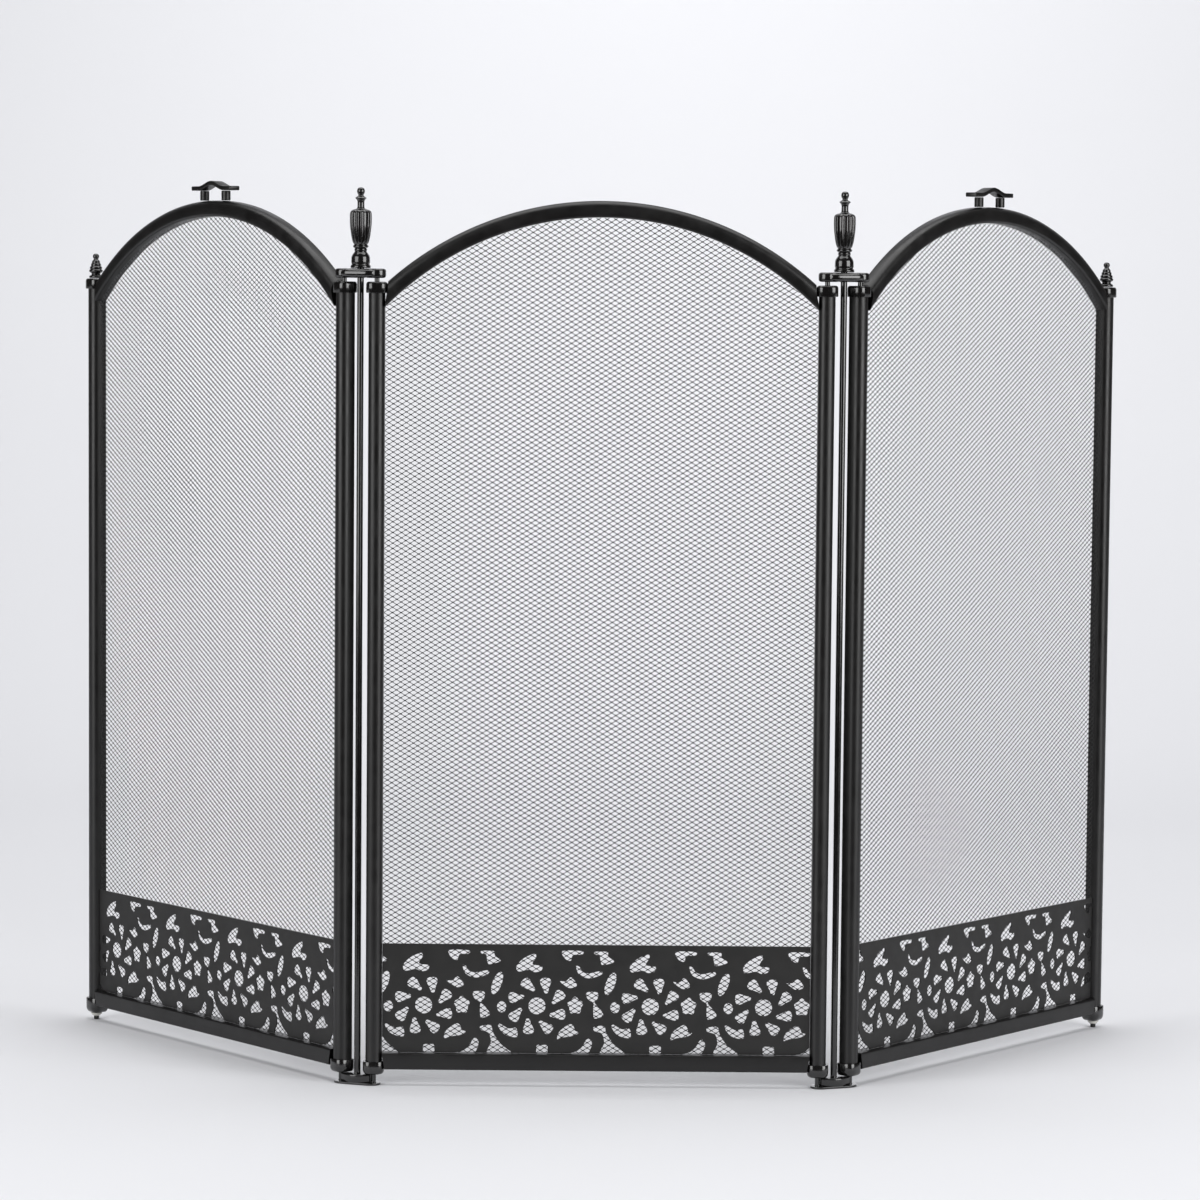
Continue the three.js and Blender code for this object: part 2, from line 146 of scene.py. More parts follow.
def remap(tree, value, low, high, start=0.3, end=0.7):
    node = tree.nodes.new("ShaderNodeMapRange")
    node.inputs["From Min"].default_value = start
    node.inputs["From Max"].default_value = end
    node.inputs["To Min"].default_value = low
    node.inputs["To Max"].default_value = high
    tree.links.new(value, node.inputs["Value"])
    return node.outputs["Result"]


def mix_colour(tree, factor, first, second):
    node = tree.nodes.new("ShaderNodeMix")
    node.data_type = "RGBA"
    tree.links.new(factor, node.inputs["Factor"])
    for socket, colour in ((node.inputs[6], first), (node.inputs[7], second)):
        if isinstance(colour, tuple):
            socket.default_value = (*colour, 1)
        else:
            tree.links.new(colour, socket)
    return node.outputs[2]


def bump(tree, shader, height, distance):
    node = tree.nodes.new("ShaderNodeBump")
    node.inputs["Distance"].default_value = distance
    tree.links.new(height, node.inputs["Height"])
    tree.links.new(node.outputs["Normal"], shader.inputs["Normal"])


def edge_mask(tree, radius):
    """Near 1 on convex edges and 0 on flat faces."""
    bevel = tree.nodes.new("ShaderNodeBevel")
    bevel.samples = 4
    bevel.inputs["Radius"].default_value = radius
    geometry = tree.nodes.new("ShaderNodeNewGeometry")
    dot = tree.nodes.new("ShaderNodeVectorMath")
    dot.operation = "DOT_PRODUCT"
    tree.links.new(bevel.outputs["Normal"], dot.inputs[0])
    tree.links.new(geometry.outputs["Normal"], dot.inputs[1])
    return remap(tree, dot.outputs["Value"], 1.0, 0.0, start=0.8, end=0.99)


def paint(name, dark, light, edge, roughness, grain, grain_height, coat=0.0):
    """Black paint: cloudy colour and gloss, a fine orange-peel grain, and lighter convex edges that are
    partly thinner paint and partly a painted sheen.
    """
    material, tree, shader = new_material(name)
    body = mix_colour(tree, remap(tree, noise(tree, 45, 5), 0, 1), dark, light)
    edge_width = 0.0007
    # Mask for the lighter edges: thinner paint, and a painted sheen where convex edges catch the light.
    thin_paint_and_sheen = tree.nodes.new("ShaderNodeMath")
    thin_paint_and_sheen.operation = "MULTIPLY"
    tree.links.new(edge_mask(tree, edge_width), thin_paint_and_sheen.inputs[0])
    tree.links.new(remap(tree, noise(tree, 260, 4), 0, 0.6), thin_paint_and_sheen.inputs[1])
    colour = mix_colour(tree, thin_paint_and_sheen.outputs["Value"], body, edge)
    tree.links.new(colour, shader.inputs["Base Color"])
    gloss = remap(tree, noise(tree, 90, 4), roughness - 0.05, roughness + 0.07)
    tree.links.new(gloss, shader.inputs["Roughness"])
    shader.inputs["Coat Weight"].default_value = coat
    shader.inputs["Coat Roughness"].default_value = 0.1
    bump(tree, shader, noise(tree, grain, 2), grain_height)
    return material


def frame_paint():
    # The third colour lightens convex edges: partly thinner paint, partly a painted sheen.
    return paint("satin_black_powder_coat", (0.003, 0.0028, 0.0028), (0.0055, 0.0051, 0.0051),
                 (0.03, 0.03, 0.032), 0.36, 1100, 0.00004)


def cast_paint():
    # The third colour lightens convex edges: partly thinner paint, partly a painted sheen.
    return paint("gloss_black_casting_paint", (0.003, 0.0028, 0.0028), (0.006, 0.0057, 0.0057),
                 (0.03, 0.029, 0.03), 0.17, 500, 0.00007, coat=0.7)


def fret_paint():
    # The third colour lightens convex edges: partly thinner paint, partly a painted sheen.
    return paint("matte_black_sheet_paint", (0.006, 0.0058, 0.0056), (0.011, 0.0105, 0.010),
                 (0.04, 0.04, 0.04), 0.5, 1300, 0.00004)


def mesh_paint():
    """Thin black paint on the strands, a little greyer where it has run thin."""
    material, tree, shader = new_material("black_mesh_paint")
    clouds = remap(tree, noise(tree, 380, 3), 0, 1)
    colour = mix_colour(tree, clouds, (0.005, 0.005, 0.005), (0.012, 0.012, 0.012))
    tree.links.new(colour, shader.inputs["Base Color"])
    tree.links.new(remap(tree, noise(tree, 120, 3), 0.38, 0.55), shader.inputs["Roughness"])
    bump(tree, shader, noise(tree, 2500, 2), 0.00003)
    return material


def nylon():
    """Off-white moulded nylon with faint clouding."""
    material, tree, shader = new_material("off_white_nylon")
    clouds = remap(tree, noise(tree, 220, 4), 0, 1)
    colour = mix_colour(tree, clouds, (0.62, 0.61, 0.57), (0.74, 0.73, 0.69))
    tree.links.new(colour, shader.inputs["Base Color"])
    tree.links.new(remap(tree, noise(tree, 400, 3), 0.38, 0.5), shader.inputs["Roughness"])
    shader.inputs["Subsurface Weight"].default_value = 0.15
    shader.inputs["Subsurface Radius"].default_value = (0.001, 0.001, 0.001)
    bump(tree, shader, noise(tree, 1500, 2), 0.00003)
    return material


def rubber():
    """Dusty black rubber."""
    material, tree, shader = new_material("black_rubber")
    clouds = remap(tree, noise(tree, 500, 5), 0, 1)
    colour = mix_colour(tree, clouds, (0.010, 0.010, 0.010), (0.03, 0.029, 0.028))
    tree.links.new(colour, shader.inputs["Base Color"])
    tree.links.new(remap(tree, noise(tree, 300, 3), 0.7, 0.9), shader.inputs["Roughness"])
    bump(tree, shader, noise(tree, 1800, 4), 0.00008)
    return material


def zinc():
    """Zinc plate with fine brushing."""
    material, tree, shader = new_material("zinc_plate")
    clouds = remap(tree, noise(tree, 500, 4), 0, 1)
    colour = mix_colour(tree, clouds, (0.42, 0.43, 0.46), (0.58, 0.59, 0.6))
    tree.links.new(colour, shader.inputs["Base Color"])
    shader.inputs["Metallic"].default_value = 1
    tree.links.new(remap(tree, noise(tree, 700, 3), 0.28, 0.42), shader.inputs["Roughness"])
    bump(tree, shader, noise(tree, 900, 3, stretch=(1, 6, 1)), 0.00003)
    return material


FRAME_PAINT = frame_paint()
CAST_PAINT = cast_paint()
FRET_PAINT = fret_paint()
MESH_PAINT = mesh_paint()
NYLON = nylon()
RUBBER = rubber()
ZINC = zinc()


# ---------------------------------------------------------------- mesh helpers

def mesh_from(points, faces, sharp_degrees=SHARP_DEGREES):
    mesh = bpy.data.meshes.new("shape")
    mesh.from_pydata([tuple(p) for p in points], [], faces)
    tidy = bmesh.new()
    tidy.from_mesh(mesh)
    bmesh.ops.recalc_face_normals(tidy, faces=tidy.faces)
    tidy.to_mesh(mesh)
    tidy.free()
    mesh.shade_smooth()
    mesh.set_sharp_from_angle(angle=math.radians(sharp_degrees))
    return mesh


def loft(rings, sharp_degrees=SHARP_DEGREES):
    """A skin over rings of points that all have the same count, with both ends filled."""
    count = len(rings[0])
    points = [p for ring in rings for p in ring]
    faces = []
    for level in range(len(rings) - 1):
        base = level * count
        for i in range(count):
            j = (i + 1) % count
            faces.append((base + i, base + j, base + count + j, base + count + i))
    faces.append(tuple(range(count)))
    last = (len(rings) - 1) * count
    faces.append(tuple(range(last, last + count)))
    return mesh_from(points, faces, sharp_degrees)


def turned(profile, steps=48, shaping=None, x=0.0, sharp_degrees=SHARP_DEGREES):
    """A solid of revolution from [radius, z] points. shaping(angle, z) scales the radius."""
    rings = []
    for radius, z in profile:
        ring = []
        for i in range(steps):
            angle = 2 * math.pi * i / steps
            r = radius * (shaping(angle, z) if shaping else 1)
            ring.append((x + r * math.cos(angle), r * math.sin(angle), z))
        rings.append(ring)
    return loft(rings, sharp_degrees=sharp_degrees)


def corner(cx, cy, radius, start, steps):
    """A quarter circle, anticlockwise from the start angle in degrees."""
    angles = [math.radians(start + 90 * i / steps) for i in range(steps + 1)]
    return [(cx + radius * math.cos(a), cy + radius * math.sin(a)) for a in angles]


def rounded_section(width, depth, front_radius, back_radius, inset=0.0, steps=5, inner_radius=None):
    """A rectangle centred on the axis, its front (at -y) and back corners rounded, drawn anticlockwise.
    The front corner at -x can have a radius of its own, inner_radius."""
    x = width / 2 - inset
    y = depth / 2 - inset
    front = max(front_radius - inset, 0.2)
    inner = front if inner_radius is None else inner_radius
    back = max(back_radius - inset, 0.2)
    return (corner(x - front, -y + front, front, 270, steps)
            + corner(x - back, y - back, back, 0, steps)
            + corner(-x + back, y - back, back, 90, steps)
            + corner(-x + inner, -y + inner, inner, 180, steps))


def carve(mesh, *cutters):
    """The mesh with each cutter mesh taken out of it."""
    body = bpy.data.objects.new("body", mesh)
    bpy.context.scene.collection.objects.link(body)
    tools = []
    for cutter in cutters:
        tool = bpy.data.objects.new("tool", cutter)
        bpy.context.scene.collection.objects.link(tool)
        modifier = body.modifiers.new("cut", "BOOLEAN")
        modifier.operation = "DIFFERENCE"
        modifier.solver = "EXACT"
        modifier.object = tool
        tools.append(tool)
    graph = bpy.context.evaluated_depsgraph_get()
    result = bpy.data.meshes.new_from_object(body.evaluated_get(graph))
    for obj in (body, *tools):
        bpy.data.objects.remove(obj)
    result.shade_smooth()
    result.set_sharp_from_angle(angle=math.radians(SHARP_DEGREES))
    return result


def add_piece(name, mesh, place, body, node, material):
    mesh.name = name
    mesh.transform(place)
    mesh.materials.clear()
    mesh.materials.append(material)
    obj = bpy.data.objects.new(name, mesh)
    bpy.context.scene.collection.objects.link(obj)
    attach(obj, body)
    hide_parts(node)
    return obj


# ---------------------------------------------------------------- tube frame

def tube_section(front_radius=TUBE_FRONT_RADIUS, inner_radius=None):
    """The tube's outline, with the closed seam as a fine groove down its back."""
    outline = rounded_section(TUBE_WIDTH, TUBE_DEPTH, front_radius, TUBE_BACK_RADIUS,
                              inner_radius=inner_radius)
    back = TUBE_DEPTH / 2
    lip, root, depth = 0.5, 0.2, 0.5
    groove = [(lip, back), (root, back - depth), (-root, back - depth), (-lip, back)]
    half = len(outline) // 2
    return outline[:half] + groove + outline[half:]


def post_mesh(node, x):
    bottom, top = height_of(node)
    levels = np.linspace(bottom, top, TUBE_STATIONS)
    return loft([[(x + px, py, z) for px, py in tube_section()] for z in levels])


def arch_mesh():
    """The tube bent to an arc. Each end is cut upright, and stepped back where it meets the cap.
    Bending has flattened the front towards the inside of the arc."""
    mean = ARCH_RADIUS - TUBE_WIDTH / 2
    cap_bottom = height_of("centre_left_top_cap")[0] - GAP
    steps = 110
    rings = []
    ends = []
    for px, py in tube_section(inner_radius=ARCH_INNER_RADIUS):
        radius = mean + px
        reach = REACH
        if ARCH_CENTRE + math.sqrt(radius ** 2 - CAP_SIDE ** 2) > cap_bottom:
            reach = CAP_SIDE
        ends.append((radius, py, math.asin(reach / radius)))
    for i in range(steps + 1):
        share = 2 * i / steps - 1
        rings.append([(radius * math.sin(share * end), y, ARCH_CENTRE + radius * math.cos(share * end))
                      for radius, y, end in ends])
    return loft(rings)


def rail_mesh():
    middle = (RAIL_BOTTOM + RAIL_TOP) / 2
    cap_top = height_of("centre_left_foot_cap")[1] + GAP
    rings = []
    for share in np.linspace(-1, 1, TUBE_STATIONS):
        ring = []
        for px, py in tube_section(RAIL_FRONT_RADIUS):
            z = middle + px
            reach = CAP_SIDE if z < cap_top else REACH
            ring.append((share * reach, py, z))
        rings.append(ring)
    return loft(rings)


# ---------------------------------------------------------------- expanded mesh

STRAND_WIDTH = 0.54
STRAND_LEAN = 0.2           # how far a strand's upper edge stands behind its lower one
STRAND_HEEL = 0.3           # the back corner's place below the strand's middle, in half widths
KNUCKLE_LENGTH = 2.4
KNUCKLE_HEIGHT = 1.4
KNUCKLE_DEPTH = 1.2
MESH_PLANE = 0.35           # y of the middle of the strands
OPENING_RADIUS = ARCH_RADIUS - TUBE_WIDTH - GAP


def rising_lines(cell_width, cell_height):
    """Both ends of each line of strands that rises to the right, where it meets the opening's edge."""
    slope = cell_height / cell_width
    lowest = -math.ceil(REACH / cell_width)
    highest = math.ceil((ARCH_TOP - MESH_BOTTOM) / cell_height) - lowest
    lines = []
    for k in range(lowest, highest):
        above_bottom = k * cell_height
        from_centre = MESH_BOTTOM + above_bottom - ARCH_CENTRE
        start = max(-REACH, -above_bottom / slope)
        end = REACH
        under_root = OPENING_RADIUS ** 2 * (1 + slope ** 2) - from_centre ** 2
        if under_root > 0:
            enter, leave = ((-from_centre * slope + sign * math.sqrt(under_root)) / (1 + slope ** 2)
                            for sign in (-1, 1))
            if from_centre + slope * leave > 0:
                end = min(end, leave)
            if from_centre + slope * enter > 0:
                start = max(start, enter)
        elif from_centre > 0:
            continue
        if end - start > 1:
            lines.append([(x, MESH_BOTTOM + above_bottom + slope * x) for x in (start, end)])
    return lines


def crossings(cell_width, cell_height):
    """The places inside the opening where strands meet, as an array of x and z."""
    columns = math.ceil(2 * REACH / cell_width)
    rows = math.ceil(2 * (ARCH_TOP - MESH_BOTTOM) / cell_height)
    i, j = (grid.ravel() for grid in np.meshgrid(np.arange(-columns, columns + 1), np.arange(1, rows)))
    met = (i + j) % 2 == 0
    x = i[met] * cell_width / 2
    z = MESH_BOTTOM + j[met] * cell_height / 2
    under_arch = (z < ARCH_CENTRE) | (np.hypot(x, z - ARCH_CENTRE) < OPENING_RADIUS - KNUCKLE_HEIGHT / 2)
    inside = (np.abs(x) < REACH - KNUCKLE_LENGTH / 2) & under_arch
    return np.stack([x[inside], z[inside]], axis=1)


def expanded_mesh(cell_width, cell_height):
    """Three-sided strands in both directions, with an eight-sided knuckle wherever they meet."""
    points = []
    faces = []
    half, lean = STRAND_WIDTH / 2, STRAND_LEAN / 2
    section = ((half, lean), (-STRAND_HEEL * half, lean), (-half, -lean))
    for (x0, z0), (x1, z1) in rising_lines(cell_width, cell_height):
        length = math.hypot(x1 - x0, z1 - z0)
        across_x, across_z = (z0 - z1) / length, (x1 - x0) / length
        for mirror in (1, -1):
            base = len(points)
            for x, z in ((x0, z0), (x1, z1)):
                for side, depth in section:
                    points.append((mirror * (x + across_x * side), MESH_PLANE + depth,
                                   z + across_z * side))
            faces += [tuple(base + i for i in face) for face in
                      ((0, 1, 4, 3), (1, 2, 5, 4), (2, 0, 3, 5), (0, 2, 1), (3, 4, 5))]
    half, high, deep = KNUCKLE_LENGTH / 2, KNUCKLE_HEIGHT / 2, KNUCKLE_DEPTH / 2
    rim = [(half, 0, 0), (0, 0, high), (-half, 0, 0), (0, 0, -high)]
    knuckle = np.array([*rim, (0, -deep, 0), (0, deep, 0)])
    sides = np.array([(i, (i + 1) % 4, tip) for i in range(4) for tip in (4, 5)])
    centres = crossings(cell_width, cell_height)
    middles = np.stack([centres[:, 0], np.full(len(centres), MESH_PLANE), centres[:, 1]], axis=1)
    first = len(points) + 6 * np.arange(len(centres))
    points += (middles[:, None] + knuckle).reshape(-1, 3).tolist()
    faces += (first[:, None, None] + sides).reshape(-1, 3).tolist()
    return mesh_from(points, faces)


# ---------------------------------------------------------------- pierced fret

FRET_REPEAT = 96.6
FRET_FRONT = -1.4
FRET_THICKNESS = 1.0
ROSETTE_HEIGHT = 69.0
ROSETTE_START = {"centre": -147.0, "left": -154.0, "right": -141.0}

# Leaf, bird and scroll piercings of one repeat, as points on their outlines, from the rosette's centre.
SCROLLS = [
    [(-2.5, 45), (-1, 42), (-4, 36), (4, 34.5), (3.5, 30.5), (-2, 29), (-7, 31), (-16, 29.5), (-17.5, 34.5),
     (-11.5, 41)],
    [(21.5, 47.5), (38, 47.5), (38, 44.5), (30.5, 44), (28.5, 39), (23.5, 41)],
    [(49, 47), (59.5, 47), (60.5, 43), (65.5, 38.5), (56, 35.5), (54, 38.5), (53, 44), (49.5, 44.5)],
    [(33, 34.5), (36, 34), (38.5, 30), (44.5, 28.5), (54, 30.5), (55, 27.5), (45, 24), (36, 27)],
    [(19.5, 21.5), (24.5, 21.5), (29, 25), (34, 18), (28, 15.5), (22.5, 18.5)],
    [(42.5, 12), (51.5, 12), (51.5, 6.5), (49, 3.5), (53, -1.5), (56.5, -7.5), (49, -10.5), (48, -1.5),
     (48, 3), (43, 6.5)],
    [(65, -15.5), (72.5, -19.5), (79, -19), (79.5, -27), (69.5, -25), (64, -18.5)],
    [(17.5, -28.5), (19.5, -21.5), (28, -15.5), (31.5, -17.5), (32.5, -21), (36, -22.5), (31.5, -25.5),
     (22.5, -27)],
    [(27, -41), (33.6, -39), (38.9, -34.8), (42, -29.2), (44.5, -28), (47, -31), (46, -36.5), (42, -41)],
    [(48, -18.5), (51, -17), (57.5, -17), (59.5, -23.5), (66, -33), (75, -41), (56, -41), (54.5, -38),
     (57.5, -31.5), (55.5, -23.5), (49.5, -21.5)],
]
PETAL = [(-6.5, -1.3), (-2.5, -2.6), (2.5, -4.6), (5.6, -3.8), (6.6, 0), (5.6, 3.8), (2.5, 4.6), (-2.5, 2.6),
         (-6.5, 1.3)]
PETAL_RADIUS = 19.2
PETAL_LEAN = math.radians(27)


def smooth_loop(points, steps=4):
    """A closed curve through the points (Catmull-Rom)."""
    loop = [Vector(p) for p in points]
    count = len(loop)
    pull = 0.16
    curve = []
    for i in range(count):
        before, start, end, after = (loop[(i + k) % count] for k in (-1, 0, 1, 2))
        out = start + (end - before) * pull
        back = end - (after - start) * pull
        for step in range(steps):
            t = step / steps
            s = 1 - t
            curve.append(start * s ** 3 + out * 3 * s * s * t + back * 3 * s * t * t + end * t ** 3)
    return curve


def turned_points(points, angle, x=0.0, z=0.0):
    c, s = math.cos(angle), math.sin(angle)
    return [(x + px * c - pz * s, z + px * s + pz * c) for px, pz in points]


def oval(x, z, half_length, half_width, tilt, lobes=0, depth=0.0, count=24):
    ring = []
    for i in range(count):
        angle = 2 * math.pi * i / count
        swell = 1 + depth * math.cos(lobes * angle)
        ring.append((half_length * swell * math.cos(angle), half_width * swell * math.sin(angle)))
    return turned_points(ring, math.radians(tilt), x, z)


def one_repeat():
    outlines = [oval(0, 0, 7.3, 7.3, 0)]
    for k in range(8):
        place = math.radians(22.5 + 45 * k)
        centre = (PETAL_RADIUS * math.cos(place), PETAL_RADIUS * math.sin(place))
        outlines.append(smooth_loop(turned_points(PETAL, place + PETAL_LEAN, *centre)))
    outlines += [smooth_loop(points) for points in SCROLLS]
    outlines += [
        oval(62.5, 19.5, 10.2, 3.9, 70),
        oval(32.6, 0.5, 7.0, 6.1, 90, lobes=5, depth=0.13, count=30),
        oval(66.5, -1, 4.8, 4, 90),
        oval(4.5, -37.2, 5.4, 4.1, 0, lobes=4, depth=-0.12),
    ]
    return outlines


def prisms(outlines, front, back):
    """One mesh with an upright prism for each outline, to punch through a sheet."""
    points = []
    faces = []
    for outline in outlines:
        base = len(points)
        count = len(outline)
        points += [(x, front, z) for x, z in outline] + [(x, back, z) for x, z in outline]
        faces.append(tuple(range(base, base + count)))
        faces.append(tuple(range(base + count, base + 2 * count)))
        faces += [(base + i, base + (i + 1) % count, base + count + (i + 1) % count, base + count + i)
                  for i in range(count)]
    return mesh_from(points, faces)


def fret_mesh(first_rosette):
    back = FRET_FRONT + FRET_THICKNESS
    corners = [(-REACH, FRET_BOTTOM), (REACH, FRET_BOTTOM), (REACH, FRET_TOP), (-REACH, FRET_TOP)]
    plate = prisms([corners], FRET_FRONT, back)
    repeat = one_repeat()
    punches = []
    x = first_rosette - FRET_REPEAT
    while x < REACH + FRET_REPEAT:
        for outline in repeat:
            moved = [(x + px, ROSETTE_HEIGHT + pz) for px, pz in outline]
            if min(px for px, _ in moved) < REACH and max(px for px, _ in moved) > -REACH:
                punches.append(moved)
        x += FRET_REPEAT
    return carve(plate, prisms(punches, FRET_FRONT - 1, back + 1))


# ---------------------------------------------------------------- castings on the posts

CAP_FRONT_RADIUS = 6.5
CAP_BACK_RADIUS = 3
CAP_FLOOR = 2.5
CAP_RIM = 0.6
CAP_DRAW_IN = 0.8           # how far a cap's closed end draws in, as a share of its rounding
FOOT_CAP_TOP = height_of("centre_left_foot_cap")[1]
HINGED_FOOT_CAP_BOTTOM = 9.5
OUTER_FOOT_CAP_BOTTOM = 6.6
PIN_RADIUS = 2.15
TOP_PIN_END = 692.5
FOOT_PIN_END = 0.8
FOOT_STUD_RADIUS = 1.5
FOOT_STUD_END = 3.8


def cap_ring(x, z, inset):
    outline = rounded_section(CAP_WIDTH, CAP_DEPTH, CAP_FRONT_RADIUS, CAP_BACK_RADIUS, inset)
    return [(x + px, py, z) for px, py in outline]


def socket_ring(x, z):
    outline = rounded_section(TUBE_WIDTH + 2 * GAP, TUBE_DEPTH + 2 * GAP, TUBE_FRONT_RADIUS + GAP,
                              TUBE_BACK_RADIUS + GAP)
    return [(x + px, py, z) for px, py in outline]


def cap_mesh(x, closed_end, open_end, rounding):
    """A casting with a socket in it. Its closed end is rounded off; both ends are given as heights."""
    way = 1 if open_end > closed_end else -1
    steps = 6
    rings = []
    for i in range(steps + 1):
        turn = math.radians(90 * i / steps)
        rings.append(cap_ring(x, closed_end + way * rounding * (1 - math.cos(turn)),
                              rounding * CAP_DRAW_IN * (1 - math.sin(turn))))
    rings += [
        cap_ring(x, open_end - way * CAP_RIM, 0),
        cap_ring(x, open_end - way * CAP_RIM / 3, CAP_RIM / 3),
        cap_ring(x, open_end, CAP_RIM),
        socket_ring(x, open_end),
        socket_ring(x, closed_end + way * CAP_FLOOR),
    ]
    return loft(rings)


def pin(x, bottom, top, radius=PIN_RADIUS):
    """A pivot pin with both ends chamfered."""
    chamfer = 0.5
    return turned([
        (radius - chamfer, bottom),
        (radius, bottom + chamfer),
        (radius, top - chamfer),
        (radius - chamfer, top),
    ], 24, x=x)


def joined(*meshes):
    """One mesh made of several."""
    whole = bmesh.new()
    for mesh in meshes:
        whole.from_mesh(mesh)
    result = bpy.data.meshes.new("joined")
    whole.to_mesh(result)
    whole.free()
    return result


def top_cap_mesh(x, hinged):
    bottom, top = height_of("left_outer_top_cap")
    cap = cap_mesh(x, top, bottom, rounding=2.6)
    if hinged:
        return joined(cap, pin(x, top - 1.5, TOP_PIN_END))
    return cap


def foot_cap_mesh(x, hinged):
    if hinged:
        cap = cap_mesh(x, HINGED_FOOT_CAP_BOTTOM, FOOT_CAP_TOP, rounding=3.6)
        return joined(cap, pin(x, FOOT_PIN_END, HINGED_FOOT_CAP_BOTTOM + 1.5))
    cap = cap_mesh(x, OUTER_FOOT_CAP_BOTTOM, FOOT_CAP_TOP, rounding=5.4)
    return joined(cap, pin(x, FOOT_STUD_END, OUTER_FOOT_CAP_BOTTOM + 1.9, FOOT_STUD_RADIUS))


# Profiles of the turned pieces, as [radius, z]. A radius of 0.05 closes an end.
SMALL_FINIAL = [
    (0.05, 683.8), (5.7, 683.8), (6.2, 684.2), (6.2, 685.2), (5.7, 686), (4.5, 686.5), (4.0, 687.3),
    (4.2, 688.2), (5.5, 688.9), (6.2, 689.6), (6.3, 690.4), (6.1, 691.2), (5.4, 691.6), (5.35, 692),
    (5.7, 692.6), (5.6, 693.5), (5.2, 694.3), (4.5, 694.6), (4.45, 695), (4.7, 695.6), (4.4, 696.8),
    (3.7, 697.3), (3.65, 697.7), (3.8, 698.3), (3.3, 699.4), (2.4, 700.4), (2.0, 700.9),
    (2.1, 701.3), (2.6, 702), (2.9, 703.1), (2.85, 704.2), (2.3, 705.2), (1.3, 705.9), (0.05, 706),
]

LARGE_FINIAL = [
    (0.05, 694.8), (8.2, 694.8), (8.6, 695.2), (8.6, 696.1), (8.3, 697.0), (7.7, 697.6),
    (7.5, 698.1), (7.8, 698.7), (8.0, 699.8), (7.9, 703.4), (7.6, 704.8), (6.8, 706.3),
    (5.9, 707.5), (5.2, 708.4), (5.0, 708.9), (5.3, 709.4), (5.45, 710.1), (5.3, 710.8),
    (4.9, 711.2), (5.5, 711.6), (6.3, 712.2), (6.6, 712.9), (6.3, 713.7), (5.6, 714.4),
    (5.7, 714.9), (6.5, 715.8), (7.1, 717.6), (7.7, 720), (8.2, 722.8), (8.6, 726), (9.0, 729),
    (9.2, 732), (9.3, 735), (9.3, 738.5), (9.2, 740.8), (8.8, 742), (7.9, 743), (6.2, 743.9),
    (4.2, 744.4), (3.2, 745.1), (2.95, 746.2), (2.9, 749.5), (3.05, 751), (3.6, 752.1), (4.5, 753),
    (4.9, 753.5), (4.5, 754), (3.2, 754.8), (2.3, 755.5), (2.2, 756), (2.6, 756.7), (3.1, 757.7),
    (3.35, 759), (3.25, 760.2), (2.8, 761.3), (2.0, 762.1), (1.0, 762.45), (0.05, 762.5),
]

COLLAR = [
    (0.05, 3.4), (2.9, 3.4), (3.4, 3.6), (4.2, 4.5), (4.9, 5.1), (5.1, 5.5), (5.1, 5.9), (4.7, 6.3),
    (0.05, 6.3),
]
TIP = [(0.05, 0), (1.8, 0), (2.2, 0.2), (2.4, 0.6), (2.4, 3.1), (0.05, 3.1)]
TIE_ROD = [(2.4, 0.6), (2.8, 1), (2.8, 705.6), (2.4, 706)]

LOBES = 12
GROOVE_DEPTH = 0.13         # as a share of the radius
LOBES_BOTTOM = 715.0
LOBES_TOP = 743.6


def gadroon(angle, z):
    """The finial's body swells into broad lobes that fade out at its neck and shoulder."""
    if not LOBES_BOTTOM < z < LOBES_TOP:
        return 1
    fade = min(1, (z - LOBES_BOTTOM) / 3, (LOBES_TOP - z) / 2)
    groove = 1 - abs(math.sin(LOBES * angle / 2))
    return 1 - GROOVE_DEPTH * fade * groove ** 2


def small_finial_mesh(x):
    return turned(SMALL_FINIAL, 48, x=x, sharp_degrees=60)


def large_finial_mesh():
    return turned(LARGE_FINIAL, 160, shaping=gadroon, sharp_degrees=60)


def collar_mesh(x):
    return turned(COLLAR, 40, x=x)


def tip_mesh(x):
    return turned(TIP, 32, x=x)


# ---------------------------------------------------------------- hinge castings

TOP_LINK_LENGTH = 45.5
TOP_LINK_WIDTH = 15
BOTTOM_LINK_LENGTH = 42
BOTTOM_LINK_WIDTH = 17
FLANGE_TOP = 1.8
HUB_HALF = 13
HUB_FRONT = 9.5
HUB_BACK = 3
HUB_BULGE = 5
PIN_HOLE_RADIUS = 2.6
ROD_HOLE_RADIUS = 3.2
NUT_POCKET_RADIUS = 4.9
NUT_POCKET_TOP = 2.4


def bar_outline(length, width, inset, steps=12):
    """A bar with round ends, drawn anticlockwise."""
    reach = (length - width) / 2
    radius = width / 2 - inset
    angles = np.linspace(-math.pi / 2, math.pi / 2, steps + 1)
    right_end = [(reach + radius * math.cos(a), radius * math.sin(a)) for a in angles]
    return right_end + [(-x, -y) for x, y in right_end]


def rounded_slab(outline_at, bottom, top, edge, steps=4):
    """A slab between two heights whose outline draws in round both edges."""
    quarter = []
    for i in range(steps + 1):
        turn = math.radians(90 * i / steps)
        quarter.append((edge * (1 - math.cos(turn)), edge * (1 - math.sin(turn))))
    levels = [(bottom + rise, inset) for rise, inset in quarter]
    levels += [(top - rise, inset) for rise, inset in reversed(quarter)]
    return loft([[(x, y, z) for x, y in outline_at(inset)] for z, inset in levels])


def pin_holes(bottom, top):
    profile = [(PIN_HOLE_RADIUS, bottom), (PIN_HOLE_RADIUS, top)]
    return [turned(profile, 24, x=side * HALF_LINK) for side in (-1, 1)]


def cushion_outline(inset, half=16, front=4.5, bow=6, steps=24):
    """The top link's front pad: almost straight across and drawn in quickly at both ends."""
    reach = half - inset
    points = []
    for i in range(steps + 1):
        x = -math.cos(math.pi * i / steps)
        points.append((reach * x, inset - front - bow * (1 - x ** 4) ** 0.5))
    return points + [(reach, 0), (-reach, 0)]


